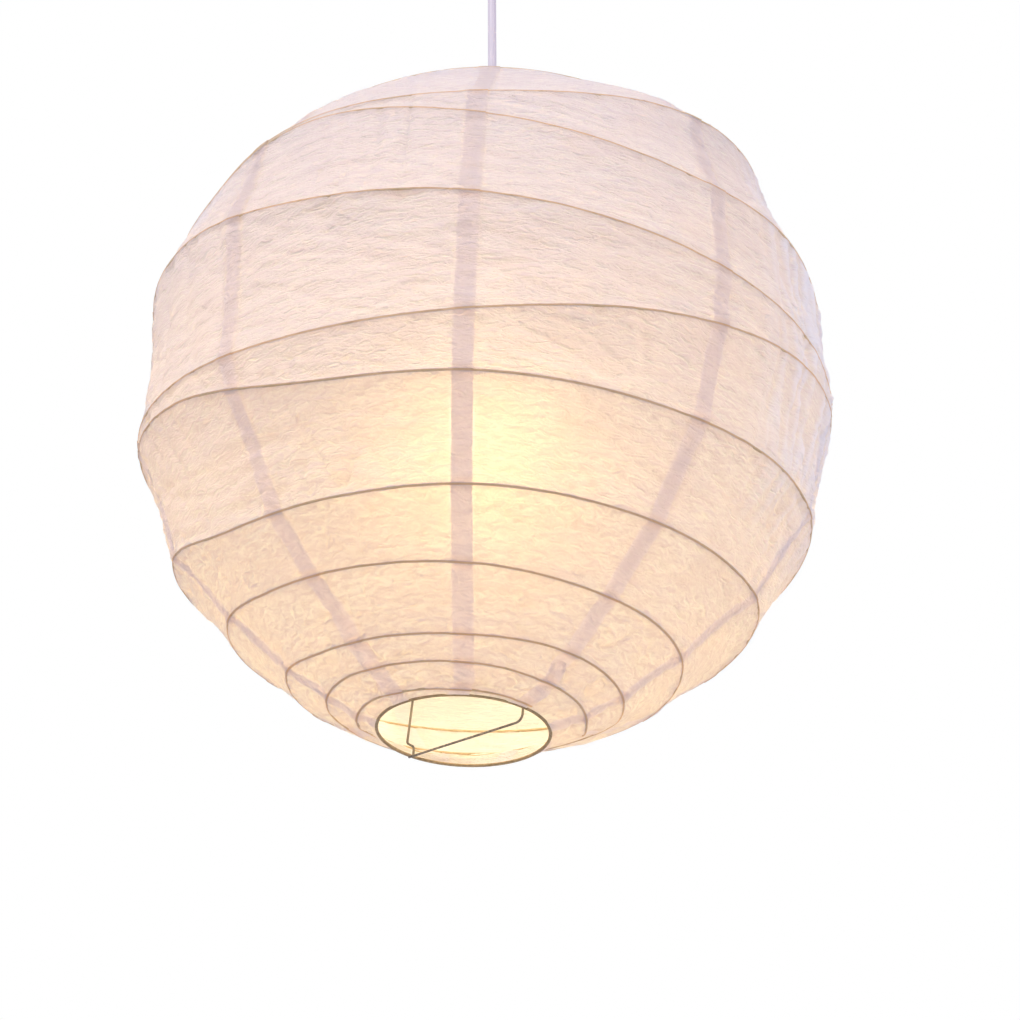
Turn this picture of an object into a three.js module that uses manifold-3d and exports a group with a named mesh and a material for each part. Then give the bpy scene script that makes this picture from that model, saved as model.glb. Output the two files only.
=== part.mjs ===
// A round paper lantern shade on its pendant set: nine paper gores over one hand-wound
// spiral wire, held open by a wire stretcher that clips on a lampholder.
// Millimetres, +Z up. The origin is on the ceiling, in the middle of the rose's base.

import * as THREE from "three";
import { mergeVertices } from "three/addons/utils/BufferGeometryUtils.js";
import Module from "manifold-3d";

const RAD = Math.PI / 180;

// ---- Where things are ----
const AXIS_X = 15; // the shade hangs this far to the side of its rose
const MIDDLE_Z = -475; // the height from which the shade's latitudes are counted
const HALF_H = 230; // from there up to the top ring, and down to the bottom one

// ---- The shade's outline: the rib's radius at each latitude ----
const LATITUDES = [0, 18, 36, 54, 72, 90]; // above and below the middle
const RADII = [226.5, 217, 186, 130, 82.5, 52.3];
const RING_R = 52.3; // of the top and the bottom ring
const RING_WIRE = 1.05; // radius of the two end rings' wire
const RIB_WIRE = 0.95; // radius of the spiral rib's wire
const PAPER = 0.8; // the paper gores' solid thickness
const PAPER_OUT = 2; // and how far it stands off the rib's own line at the two ends
const GORES = 9;
const FIRST_SEAM = -4; // azimuth of the seam at the front
const GORE_GAP = 0.4; // between neighbouring gores
const GORE_END = 88; // the gores stop at this latitude, just outside the end rings

// ---- The rib: the latitude of each turn, from the crown down, at these azimuths ----
// Azimuth 0 is the front (-Y), 90 the right (+X). The turns crowd together in pairs at the sides.
const TURN_AZIMUTHS = [-90, -60, -30, 0, 30, 60, 90, 180];
const TURNS = [
  [81, 80.5, 80, 79.5, 79, 78.5, 78, 75],
  [70, 70, 70, 70, 69, 67, 65, 56],
  [42, 44.5, 52, 56, 52.5, 44.5, 41, 36],
  [24.2, 22.9, 22.2, 22, 29, 34.5, 36.5, 29.5],
  [23, 21.8, 21, 15, 12, 15, 13.6, 12.6],
  [11.8, 9, 2.2, -1, -3, -3, -3.3, -8],
  [-13, -17, -20, -19, -14, -8, -4.5, -9.4],
  [-14.5, -20, -27, -28, -28, -26, -24, -28.5],
  [-34, -41, -43, -43, -43, -42, -40, -43],
  [-47, -51, -53, -54, -55, -55, -55, -57],
  [-60, -64, -66, -67, -67, -67.5, -68, -69],
  [-70, -71.2, -73, -74.2, -76, -77.3, -79, -79.5],
  [-80, -81, -84, -86, -87],
];
const RIB_STEPS = 30; // per turn

// ---- The stretcher, of bent wire welded to a flat collar ----
const WIRE = 0.75; // radius of its wire
const NEAR_AZIMUTH = 51; // of its right leg
const FAR_AZIMUTH = 223.6; // and of its left one, behind
const ARM_AZIMUTHS = [137, 317]; // of its two upper arms
const COLLAR = { inner: 20.3, outer: 26, top: -428.8, thick: 1.2 };
const SHOULDER_R = 34; // the legs pass this far from the bulb's axis
const NEAR_FOOT_R = 39.5;
const FAR_FOOT_R = 49.4;
const FOOT_JOG = 7; // degrees that the far foot steps sideways before it drops
const JOG_H = 6; // the height of that step over the bar

// ---- The lampholder and its bulb ----
const HOLDER = { capTop: -370, seam: -406, shoulder: -428.5, end: -446, r: 19.8 };
const BULB = { capTop: -418, glassTop: -448.3, widest: -493, r: 30 };
const GLASS = 1; // the bulb's wall
const CAP_R = 13.2; // the radius of its screw cap
const CAP_WALL = 0.8;

// ---- The flex and the ceiling rose ----
const FLEX_R = 3.2;
const FLEX_EXIT = -29; // where the flex leaves the rose; the pendant swings about it
const FLEX_TOP = -24.5;
const FLEX_BEND = -365; // the flex is straight from the rose down to here
const FLEX_END = -384;
const LEAN = Math.atan(AXIS_X / (FLEX_EXIT - FLEX_BEND));
const CUP = { r: 42, wall: 1.8, h: 30 };
const BASE = { r: 38, thick: 2.5 };
const GAP = 0.4;

const manifold = await Module();
manifold.setup();
const { Manifold, Mesh } = manifold;

const part = new THREE.Group();

function add(name, geometry, colour) {
  const mesh = new THREE.Mesh(geometry, new THREE.MeshStandardMaterial({ color: colour }));
  mesh.name = name;
  part.add(mesh);
  return mesh;
}

// A smooth curve through the values at rising places.
function smooth(places, values, at) {
  let i = 0;
  while (i < places.length - 2 && at > places[i + 1]) i += 1;
  const slope = (k) => {
    const a = Math.max(k - 1, 0);
    const b = Math.min(k + 1, places.length - 1);
    return (values[b] - values[a]) / (places[b] - places[a]);
  };
  const wide = places[i + 1] - places[i];
  const t = Math.min(Math.max((at - places[i]) / wide, 0), 1);
  const u = 1 - t;
  return (
    u * u * (1 + 2 * t) * values[i] +
    t * t * (3 - 2 * t) * values[i + 1] +
    t * u * wide * (u * slope(i) - t * slope(i + 1))
  );
}

const ribRadius = (latitude) => smooth(LATITUDES, RADII, Math.abs(latitude));
const ribHeight = (latitude) => MIDDLE_Z + HALF_H * Math.sin(latitude * RAD);

// A point around the shade's axis.
function around(azimuth, radius, z) {
  const a = azimuth * RAD;
  return new THREE.Vector3(AXIS_X + radius * Math.sin(a), -radius * Math.cos(a), z);
}

// ---- Solids ----

// A cord of round section that runs smoothly through the points.
function cord(points, radius, steps, sides) {
  const corners = [];
  for (let i = 0; i < sides; i += 1) {
    const a = (2 * Math.PI * i) / sides;
    corners.push(new THREE.Vector2(radius * Math.cos(a), radius * Math.sin(a)));
  }
  return new THREE.ExtrudeGeometry(new THREE.Shape(corners), {
    steps,
    extrudePath: new THREE.CatmullRomCurve3(points, false, "centripetal"),
    bevelEnabled: false,
  });
}

// A wire with straight runs and a small bend at each corner.
function bent(corners, radius, bend, sides = 6) {
  const points = [corners[0]];
  for (let i = 1; i < corners.length - 1; i += 1) {
    const back = corners[i - 1].clone().sub(corners[i]);
    const on = corners[i + 1].clone().sub(corners[i]);
    const b = Math.min(bend, back.length() / 2.2, on.length() / 2.2);
    const from = corners[i].clone().addScaledVector(back.normalize(), b);
    const to = corners[i].clone().addScaledVector(on.normalize(), b);
    const curve = new THREE.QuadraticBezierCurve3(from, corners[i], to);
    points.push(...curve.getPoints(3));
  }
  points.push(corners[corners.length - 1]);
  return sweep(points, radius, sides);
}

// A wire whose rings stand at the given points, square to the way between their neighbours.
function sweep(points, radius, sides) {
  const positions = [];
  const faces = [];
  let side = null;
  points.forEach((point, i) => {
    const before = points[Math.max(i - 1, 0)];
    const after = points[Math.min(i + 1, points.length - 1)];
    const way = after.clone().sub(before).normalize();
    if (!side) side = new THREE.Vector3(0.31, 0.83, 0.46);
    side = side.clone().addScaledVector(way, -side.dot(way)).normalize();
    const other = way.clone().cross(side);
    for (let k = 0; k < sides; k += 1) {
      const a = (2 * Math.PI * k) / sides;
      const p = point.clone().addScaledVector(side, radius * Math.cos(a));
      p.addScaledVector(other, radius * Math.sin(a));
      positions.push(p.x, p.y, p.z);
    }
  });
  const ring = (i, k) => i * sides + (k % sides);
  for (let i = 0; i < points.length - 1; i += 1) {
    for (let k = 0; k < sides; k += 1) {
      faces.push(ring(i, k), ring(i, k + 1), ring(i + 1, k + 1));
      faces.push(ring(i, k), ring(i + 1, k + 1), ring(i + 1, k));
    }
  }
  const last = points.length - 1;
  for (let k = 1; k < sides - 1; k += 1) {
    faces.push(ring(0, 0), ring(0, k + 1), ring(0, k));
    faces.push(ring(last, 0), ring(last, k), ring(last, k + 1));
  }
  return indexed(positions, faces);
}

function indexed(positions, faces) {
  const geometry = new THREE.BufferGeometry();
  geometry.setAttribute("position", new THREE.Float32BufferAttribute(positions, 3));
  geometry.setIndex(faces);
  geometry.computeVertexNormals();
  return geometry;
}

// A turned piece from [radius, height] pairs, given round its section either way.
function turned(section, x = AXIS_X, segments = 32) {
  const points = section.map(([r, z]) => new THREE.Vector2(r, z));
  if (THREE.ShapeUtils.isClockWise(points)) points.reverse();
  points.push(points[0].clone());
  const geometry = new THREE.LatheGeometry(points, segments);
  geometry.rotateX(Math.PI / 2);
  geometry.translate(x, 0, 0);
  return geometry;
}

function solid(geometry) {
  const bare = new THREE.BufferGeometry();
  bare.setAttribute("position", geometry.getAttribute("position"));
  bare.setIndex(geometry.getIndex());
  const closed = mergeVertices(bare, 1e-3);
  return new Manifold(
    new Mesh({
      numProp: 3,
      vertProperties: closed.getAttribute("position").array,
      triVerts: new Uint32Array(closed.getIndex().array),
    }),
  );
}

function welded(...geometries) {
  const joined = Manifold.union(geometries.map(solid)).getMesh();
  return indexed(Array.from(joined.vertProperties), Array.from(joined.triVerts));
}

// ---- Paper, rings and rib ----

function wireRing(z) {
  const ring = new THREE.TorusGeometry(RING_R, RING_WIRE, 6, 40);
  ring.translate(AXIS_X, 0, z);
  return ring;
}

function ribPath() {
  const places = [];
  const latitudes = [];
  TURNS.forEach((turn, n) => {
    turn.forEach((latitude, k) => {
      places.push(360 * n + TURN_AZIMUTHS[k]);
      latitudes.push(latitude);
    });
  });
  const first = places[0];
  const last = places[places.length - 1];
  const count = Math.round(((last - first) / 360) * RIB_STEPS);
  const points = [];
  for (let i = 0; i <= count; i += 1) {
    const azimuth = first + ((last - first) * i) / count;
    const latitude = smooth(places, latitudes, azimuth);
    points.push(around(azimuth, ribRadius(latitude), ribHeight(latitude)));
  }
  return points;
}

// A point of the shade's outline, moved out square to it.
function outline(latitude, out) {
  const d = 0.5;
  const dr = ribRadius(latitude + d) - ribRadius(latitude - d);
  const dz = ribHeight(latitude + d) - ribHeight(latitude - d);
  const long = Math.hypot(dr, dz);
  return [
    ribRadius(latitude) + (out * dz) / long,
    ribHeight(latitude) - (out * dr) / long,
  ];
}

function gore(number) {
  const across = 5;
  const along = 22;
  const start = FIRST_SEAM + (360 / GORES) * number;
  const positions = [];
  const faces = [];
  for (let i = 0; i <= along; i += 1) {
    const latitude = -GORE_END + (2 * GORE_END * i) / along;
    const clear = PAPER_OUT + 1.2 * Math.cos(latitude * RAD);
    for (const out of [clear, clear + PAPER]) {
      const [r, z] = outline(latitude, out);
      const trim = GORE_GAP / 2 / r / RAD;
      for (let k = 0; k <= across; k += 1) {
        const wide = 360 / GORES - 2 * trim;
        const p = around(start + trim + (wide * k) / across, r, z);
        positions.push(p.x, p.y, p.z);
      }
    }
  }
  const row = 2 * (across + 1);
  const inner = (i, k) => i * row + k;
  const outer = (i, k) => i * row + across + 1 + k;
  const quad = (a, b, c, d) => faces.push(a, b, c, a, c, d);
  for (let i = 0; i < along; i += 1) {
    for (let k = 0; k < across; k += 1) {
      quad(outer(i, k), outer(i, k + 1), outer(i + 1, k + 1), outer(i + 1, k));
      quad(inner(i, k), inner(i + 1, k), inner(i + 1, k + 1), inner(i, k + 1));
    }
    quad(inner(i, 0), outer(i, 0), outer(i + 1, 0), inner(i + 1, 0));
    quad(inner(i, across), inner(i + 1, across), outer(i + 1, across), outer(i, across));
  }
  for (let k = 0; k < across; k += 1) {
    quad(inner(0, k), inner(0, k + 1), outer(0, k + 1), outer(0, k));
    quad(inner(along, k), outer(along, k), outer(along, k + 1), inner(along, k + 1));
  }
  return indexed(positions, faces);
}

const TOP_RING_Z = ribHeight(90);
const BOTTOM_RING_Z = ribHeight(-90);

add("top_ring", wireRing(TOP_RING_Z), "#a08a6c");
add("bottom_ring", wireRing(BOTTOM_RING_Z), "#a08a6c");
add("rib_wire", sweep(ribPath(), RIB_WIRE, 6), "#c8aa82");
for (let i = 0; i < GORES; i += 1) add(`gore_${i + 1}`, gore(i), "#f3e6dc");

// ---- Stretcher ----

const COLLAR_MID = COLLAR.top - COLLAR.thick / 2;
const UNDER_RING = RING_WIRE + WIRE + 0.3; // from a ring's middle to a wire's beyond it
const BAR_Z = BOTTOM_RING_Z - UNDER_RING;
const ARM_Z = TOP_RING_Z - UNDER_RING;
function bow() {
  // The near leg, the bar across the mouth, and the bar's end under the ring at the far side.
  const near = bent(
    [
      around(NEAR_AZIMUTH, COLLAR.outer - 1, COLLAR_MID),
      around(NEAR_AZIMUTH, SHOULDER_R, COLLAR_MID - 3),
      around(NEAR_AZIMUTH, SHOULDER_R + 0.5, COLLAR_MID - 14),
      around(NEAR_AZIMUTH, NEAR_FOOT_R, BAR_Z),
      around(FAR_AZIMUTH, RING_R + 1, BAR_Z),
    ],
    WIRE,
    6,
  );
  // The far leg, which steps aside over the bar and drops onto it.
  const far = bent(
    [
      around(FAR_AZIMUTH, COLLAR.outer - 1, COLLAR_MID),
      around(FAR_AZIMUTH, SHOULDER_R, COLLAR_MID - 3),
      around(FAR_AZIMUTH, SHOULDER_R + 0.5, COLLAR_MID - 14),
      around(FAR_AZIMUTH + FOOT_JOG, FAR_FOOT_R, BAR_Z + JOG_H),
      around(FAR_AZIMUTH, FAR_FOOT_R, BAR_Z + JOG_H),
      around(FAR_AZIMUTH, FAR_FOOT_R, BAR_Z),
    ],
    WIRE,
    1.6,
  );
  return [near, far];
}

function arm(azimuth) {
  return bent(
    [
      around(azimuth, COLLAR.outer - 1, COLLAR_MID),
      around(azimuth, COLLAR.outer + 3, COLLAR_MID + 4),
      around(azimuth, RING_R - 5, ARM_Z),
      around(azimuth, RING_R + 1, ARM_Z),
    ],
    WIRE,
    4,
  );
}

const collar = turned([
  [COLLAR.inner, COLLAR.top - COLLAR.thick],
  [COLLAR.outer, COLLAR.top - COLLAR.thick],
  [COLLAR.outer, COLLAR.top],
  [COLLAR.inner, COLLAR.top],
]);
add(
  "stretcher",
  welded(collar, ...bow(), ...ARM_AZIMUTHS.map(arm)),
  "#8c8070",
);

// ---- Lampholder and bulb ----

const FLEX_HOLE = FLEX_R + GAP;
add(
  "holder_cap",
  turned([
    [FLEX_HOLE, HOLDER.capTop],
    [9, HOLDER.capTop],
    [15.5, HOLDER.capTop - 5],
    [HOLDER.r - 0.6, HOLDER.capTop - 16],
    [HOLDER.r, HOLDER.seam],
    [HOLDER.r - 2.2, HOLDER.seam],
    [HOLDER.r - 2.8, HOLDER.capTop - 17],
    [13.6, HOLDER.capTop - 7],
    [FLEX_HOLE, HOLDER.capTop - 3],
  ]),
  "#efece6",
);
add(
  "holder_body",
  turned([
    [13.9, HOLDER.end],
    [HOLDER.r - 0.2, HOLDER.end],
    [HOLDER.r - 0.2, HOLDER.shoulder],
    [HOLDER.r + 3, HOLDER.shoulder],
    [HOLDER.r + 3, HOLDER.shoulder + 5],
    [HOLDER.r, HOLDER.shoulder + 7],
    [HOLDER.r, HOLDER.seam - GAP],
    [0, HOLDER.seam - GAP],
    [0, HOLDER.seam - 5],
    [13.9, HOLDER.seam - 5],
  ]),
  "#efece6",
);
add(
  "shade_ring",
  turned([
    [HOLDER.r + 0.2, COLLAR.top - COLLAR.thick - 6.4],
    [HOLDER.r + 4.4, COLLAR.top - COLLAR.thick - 6.4],
    [HOLDER.r + 5.2, COLLAR.top - COLLAR.thick - 5],
    [HOLDER.r + 5.2, COLLAR.top - COLLAR.thick - GAP],
    [HOLDER.r + 0.2, COLLAR.top - COLLAR.thick - GAP],
  ]),
  "#efece6",
);
add(
  "holder_contact",
  turned([
    [0, BULB.capTop + 1.8],
    [3.2, BULB.capTop + 1.8],
    [3.2, HOLDER.seam - 5.4],
    [0, HOLDER.seam - 5.4],
  ], AXIS_X, 16),
  "#c9a24b",
);
add(
  "bulb_cap",
  turned([
    [CAP_R - CAP_WALL, BULB.glassTop + 0.3],
    [CAP_R, BULB.glassTop + 0.3],
    [CAP_R, BULB.capTop - 6],
    [9, BULB.capTop - 1],
    [0, BULB.capTop - 1],
    [0, BULB.capTop - 1 - CAP_WALL],
    [8.5, BULB.capTop - 1 - CAP_WALL],
    [CAP_R - CAP_WALL, BULB.capTop - 6.5],
  ]),
  "#b9bbbd",
);
add(
  "bulb_tip",
  turned([
    [0, BULB.capTop - 0.7],
    [4, BULB.capTop - 0.7],
    [3, BULB.capTop + 1.2],
    [0, BULB.capTop + 1.4],
  ], AXIS_X, 16),
  "#b9bbbd",
);

// Half of the glass's section, from its open neck down to the bottom, thinned by the given amount.
function bulbOutline(thin) {
  const r = BULB.r - thin;
  const section = [[13.2 - thin, BULB.glassTop], [14.4 - thin, BULB.glassTop - 8]];
  for (let a = 50; a > -90; a -= 14) {
    section.push([r * Math.cos(a * RAD), BULB.widest + r * Math.sin(a * RAD)]);
  }
  section.push([0, BULB.widest - r]);
  return section;
}
const glassSection = [...bulbOutline(0), ...bulbOutline(GLASS).reverse()];
add("bulb_glass", turned(glassSection, AXIS_X, 28), "#fff3d6");

// ---- Flex, its gland and grip, and the ceiling rose ----

// The point on the flex at a height between the rose and its bend.
function onFlex(z) {
  return new THREE.Vector3((FLEX_EXIT - z) * Math.tan(LEAN), 0, z);
}

// A turned piece that sits on the leaning flex.
function onLean(geometry, z) {
  geometry.rotateY(-LEAN);
  const place = onFlex(z);
  geometry.translate(place.x, 0, place.z);
  return geometry;
}

const flexLine = [
  onFlex(FLEX_TOP),
  onFlex(-60),
  onFlex(-180),
  onFlex(-320),
  onFlex(FLEX_BEND + 4),
  new THREE.Vector3(AXIS_X, 0, FLEX_BEND - 6),
  new THREE.Vector3(AXIS_X, 0, FLEX_END),
];
add("flex", cord(flexLine, FLEX_R, 24, 10), "#e6dce0");

add(
  "flex_gland",
  onLean(
    turned([
      [FLEX_HOLE, 0],
      [6.8, 0],
      [6.6, 5],
      [4.7, 22],
      [FLEX_HOLE, 22],
    ], 0, 24),
    HOLDER.capTop + 0.9,
  ),
  "#efece6",
);
add(
  "flex_grip",
  onLean(
    turned([
      [0, FLEX_R + 2.2],
      [0, 0.4],
      [6, 0.4],
      [6, 5],
      [4.5, FLEX_R + 2.2],
    ], 0, 20),
    FLEX_TOP,
  ),
  "#efece6",
);

add(
  "rose_cup",
  turned([
    [FLEX_R + 1, -CUP.h],
    [10, -CUP.h],
    [CUP.r - 9, -CUP.h + 4],
    [CUP.r - 2, -CUP.h + 12],
    [CUP.r, -CUP.h + 22],
    [CUP.r, -GAP],
    [CUP.r - CUP.wall, -GAP],
    [CUP.r - CUP.wall, -CUP.h + 22],
    [CUP.r - 2 - CUP.wall, -CUP.h + 13],
    [CUP.r - 10, -CUP.h + 6],
    [10, -CUP.h + 2],
    [FLEX_R + 1, -CUP.h + 2],
  ], 0, 40),
  "#f2f0ec",
);
add(
  "rose_base",
  turned([
    [0, -BASE.thick],
    [BASE.r, -BASE.thick],
    [BASE.r, 0],
    [0, 0],
  ], 0, 40),
  "#f2f0ec",
);
const terminal = new THREE.BoxGeometry(26, 10, 11);
terminal.translate(0, 17, -BASE.thick - 0.3 - 5.5);
add("rose_terminal", terminal, "#d9d4c8");

export default part;
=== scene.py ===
import bisect
import math

import bmesh
import bpy
from mathutils import Matrix, Quaternion, Vector, noise


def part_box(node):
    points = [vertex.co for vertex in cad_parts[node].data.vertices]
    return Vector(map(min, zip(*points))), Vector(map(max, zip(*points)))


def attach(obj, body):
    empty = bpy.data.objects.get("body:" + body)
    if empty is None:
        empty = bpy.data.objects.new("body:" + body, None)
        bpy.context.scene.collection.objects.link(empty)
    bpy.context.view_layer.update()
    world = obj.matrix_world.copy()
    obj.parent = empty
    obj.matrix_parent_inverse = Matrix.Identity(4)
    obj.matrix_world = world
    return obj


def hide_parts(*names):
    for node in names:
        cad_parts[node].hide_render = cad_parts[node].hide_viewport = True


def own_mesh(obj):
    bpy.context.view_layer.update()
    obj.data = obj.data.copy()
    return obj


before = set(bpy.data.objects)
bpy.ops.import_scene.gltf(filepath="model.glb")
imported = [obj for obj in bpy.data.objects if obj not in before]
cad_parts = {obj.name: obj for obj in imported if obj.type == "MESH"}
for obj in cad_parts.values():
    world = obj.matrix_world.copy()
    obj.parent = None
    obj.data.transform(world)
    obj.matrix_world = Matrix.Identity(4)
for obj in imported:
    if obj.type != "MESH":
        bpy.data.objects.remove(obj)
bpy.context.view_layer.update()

MM = 0.001

# ---- Where the shade is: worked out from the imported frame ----
ring_low, ring_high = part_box("bottom_ring")
crown_low, crown_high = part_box("top_ring")
AXIS_X = (ring_low[0] + ring_high[0]) / 2
BOTTOM_Z = (ring_low[2] + ring_high[2]) / 2
TOP_Z = (crown_low[2] + crown_high[2]) / 2
MIDDLE_Z = (BOTTOM_Z + TOP_Z) / 2
HALF_H = (TOP_Z - BOTTOM_Z) / 2
RING_WIRE = (ring_high[2] - ring_low[2]) / 2 / math.cos(math.radians(30))
MIDDLE = Vector((AXIS_X, 0, MIDDLE_Z))

# ---- Camera: below the lantern, looking up at it ----
camera_data = bpy.data.cameras.new("camera")
camera = bpy.data.objects.new("camera", camera_data)
bpy.context.scene.collection.objects.link(camera)
bpy.context.scene.camera = camera
camera_data.sensor_width = 36
camera_data.lens = 63.53
camera_data.clip_start = 0.01
LOOK = Vector((0.0159, 0.8591, 0.5115))
ROLL = math.radians(2.43)
camera.location = MIDDLE + Vector((0, -0.9972, -0.6675))
camera.rotation_mode = "QUATERNION"
camera.rotation_quaternion = LOOK.to_track_quat("-Z", "Y") @ Quaternion((0, 0, 1), ROLL)

# ---- The shade's outline and its rib, as the CAD has them ----
LATITUDES = [0, 18, 36, 54, 72, 90]
RADII = [226.5, 217, 186, 130, 82.5, 52.3]
RIB_WIRE = 0.85 * MM
GORES = 9
FIRST_SEAM = -4
TURN_AZIMUTHS = [-90, -60, -30, 0, 30, 60, 90, 180]
TURNS = [
    [81, 80.5, 80, 79.5, 79, 78.5, 78, 75],
    [70, 70, 70, 70, 69, 67, 65, 56],
    [42, 44.5, 52, 56, 52.5, 44.5, 41, 36],
    [24.2, 22.9, 22.2, 22, 29, 34.5, 36.5, 29.5],
    [23, 21.8, 21, 15, 12, 15, 13.6, 12.6],
    [11.8, 9, 2.2, -1, -3, -3, -3.3, -8],
    [-13, -17, -20, -19, -14, -8, -4.5, -9.4],
    [-14.5, -20, -27, -28, -28, -26, -24, -28.5],
    [-34, -41, -43, -43, -43, -42, -40, -43],
    [-47, -51, -53, -54, -55, -55, -55, -57],
    [-60, -64, -66, -67, -67, -67.5, -68, -69],
    [-70, -71.2, -73, -74.2, -76, -77.3, -79, -79.5],
    [-80, -81, -84, -86, -87],
]
TURN_PLACES = [360 * n + TURN_AZIMUTHS[k] for n, turn in enumerate(TURNS) for k in range(len(turn))]
TURN_LATITUDES = [latitude for turn in TURNS for latitude in turn]


def smooth(places, values, at):
    """A smooth curve through the values at rising places."""
    i = min(max(bisect.bisect_left(places, at) - 1, 0), len(places) - 2)

    def slope(k):
        a = max(k - 1, 0)
        b = min(k + 1, len(places) - 1)
        return (values[b] - values[a]) / (places[b] - places[a])

    wide = places[i + 1] - places[i]
    t = min(max((at - places[i]) / wide, 0), 1)
    u = 1 - t
    ends = u * u * (1 + 2 * t) * values[i] + t * t * (3 - 2 * t) * values[i + 1]
    return ends + t * u * wide * (u * slope(i) - t * slope(i + 1))


def step_between(low, high, x):
    """0 below low, 1 above high, smooth between them."""
    t = min(max((x - low) / (high - low), 0), 1)
    return t * t * (3 - 2 * t)


def rib_radius(latitude):
    return smooth(LATITUDES, RADII, abs(latitude)) * MM


def rib_height(latitude):
    return MIDDLE_Z + HALF_H * math.sin(math.radians(latitude))


def turn_latitude(angle):
    """The rib's latitude at an angle counted on from turn to turn."""
    return smooth(TURN_PLACES, TURN_LATITUDES, angle)


def around(azimuth, radius, z):
    """A point round the shade's axis: azimuth 0 is the front, 90 the right."""
    a = math.radians(azimuth)
    return Vector((AXIS_X + radius * math.sin(a), -radius * math.cos(a), z))


# ---- Making pieces ----
def linear(code):
    """An sRGB hex colour as the linear numbers that a shader takes."""
    parts = [int(code[i:i + 2], 16) / 255 for i in (1, 3, 5)]
    return [p / 12.92 if p <= 0.04045 else ((p + 0.055) / 1.055) ** 2.4 for p in parts] + [1]


def add_node(tree, kind, settings=None, **inputs):
    """Adds a shader node; an input given as a socket is linked, any other is set."""
    made = tree.nodes.new(kind)
    for key, value in (settings or {}).items():
        setattr(made, key, value)
    for key, value in inputs.items():
        socket = made.inputs[int(key[1:])] if key[0] == "i" and key[1:].isdigit() else made.inputs[key.replace("_", " ")]
        if isinstance(value, bpy.types.NodeSocket):
            tree.links.new(value, socket)
        else:
            socket.default_value = value
    return made


def keep_piece(name, mesh, body, material):
    piece = bpy.data.objects.new(name, mesh)
    bpy.context.scene.collection.objects.link(piece)
    piece.data.materials.append(material)
    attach(piece, body)
    return piece


def from_bmesh(bm, name, flat_over=40):
    """The bmesh as a mesh, smooth but for edges sharper than the given angle."""
    for face in bm.faces:
        face.smooth = True
    for edge in bm.edges:
        if len(edge.link_faces) == 2 and edge.calc_face_angle() > math.radians(flat_over):
            edge.smooth = False
    mesh = bpy.data.meshes.new(name)
    bm.to_mesh(mesh)
    bm.free()
    return mesh


def turned(name, section, x=AXIS_X, steps=64, soften=0.0, lean=0.0, pivot=None):
    """A turned solid from [radius, height] pairs in millimetres, its corners softened."""
    bm = bmesh.new()
    corners = [bm.verts.new((r * MM, 0, z * MM)) for r, z in section]
    edges = [bm.edges.new((a, b)) for a, b in zip(corners, corners[1:] + corners[:1])]
    on_axis = [e for e in edges if all(v.co.x < 1e-9 for v in e.verts)]
    for edge in on_axis:
        edges.remove(edge)
        bm.edges.remove(edge)
    bmesh.ops.spin(bm, geom=corners + edges, cent=(0, 0, 0), axis=(0, 0, 1), angle=2 * math.pi,
                   steps=steps, use_merge=True, use_normal_flip=False)
    bmesh.ops.remove_doubles(bm, verts=bm.verts, dist=1e-6)
    bmesh.ops.recalc_face_normals(bm, faces=bm.faces)
    if soften:
        sharp = [e for e in bm.edges if len(e.link_faces) == 2 and e.calc_face_angle() > 0.5]
        bmesh.ops.bevel(bm, geom=sharp, offset=soften * MM, affect="EDGES", segments=2,
                        profile=0.5, material=-1, clamp_overlap=True)
    place = Matrix.Translation((x, 0, 0))
    if pivot is not None:
        place = Matrix.Translation(pivot) @ Matrix.Rotation(-lean, 4, "Y")
    bmesh.ops.transform(bm, matrix=place, verts=bm.verts)
    return from_bmesh(bm, name)


def wire(name, points, radius, sides=8, closed=False, bend=0.0):
    """A round wire along the points, with a bend of the given reach at each corner."""
    line = rounded(points, bend) if bend else points
    curve = bpy.data.curves.new(name, "CURVE")
    curve.dimensions = "3D"
    curve.bevel_depth = radius
    curve.bevel_resolution = (sides - 4) // 2
    curve.use_fill_caps = not closed
    spline = curve.splines.new("POLY")
    spline.points.add(len(line) - 1)
    for point, place in zip(spline.points, line):
        point.co = (*place, 1)
    spline.use_cyclic_u = closed
    holder = bpy.data.objects.new(name, curve)
    mesh = bpy.data.meshes.new_from_object(holder)
    bpy.data.objects.remove(holder)
    bm = bmesh.new()
    bm.from_mesh(mesh)
    bmesh.ops.remove_doubles(bm, verts=bm.verts, dist=1e-6)
    bmesh.ops.recalc_face_normals(bm, faces=bm.faces)
    bpy.data.meshes.remove(mesh)
    return from_bmesh(bm, name, flat_over=60)


def rounded(points, bend):
    line = [points[0]]
    for before, corner, after in zip(points, points[1:], points[2:]):
        reach = min(bend, (before - corner).length / 2.2, (after - corner).length / 2.2)
        start = corner + (before - corner).normalized() * reach
        end = corner + (after - corner).normalized() * reach
        for i in range(7):
            t = i / 6
            line.append(start * (1 - t) ** 2 + corner * (2 * t * (1 - t)) + end * t * t)
    line.append(points[-1])
    return line


def joined(name, meshes):
    bm = bmesh.new()
    for mesh in meshes:
        bm.from_mesh(mesh)
        bpy.data.meshes.remove(mesh)
    return from_bmesh(bm, name)


# ---- Materials ----
def new_material(name):
    material = bpy.data.materials.new(name)
    material.use_nodes = True
    tree = material.node_tree
    tree.nodes.clear()
    return material, tree, add_node(tree, "ShaderNodeOutputMaterial")


def object_pattern(tree, spacing, lift=0.0):
    """Object coordinates, moved up by some millimetres, with one unit of a texture the given millimetres."""
    place = add_node(tree, "ShaderNodeTexCoord")
    scaled = add_node(tree, "ShaderNodeMapping", Vector=place.outputs["Object"],
                      Location=(0, 0, lift / spacing[2]), Scale=[1 / (s * MM) for s in spacing])
    return scaled.outputs["Vector"]


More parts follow.
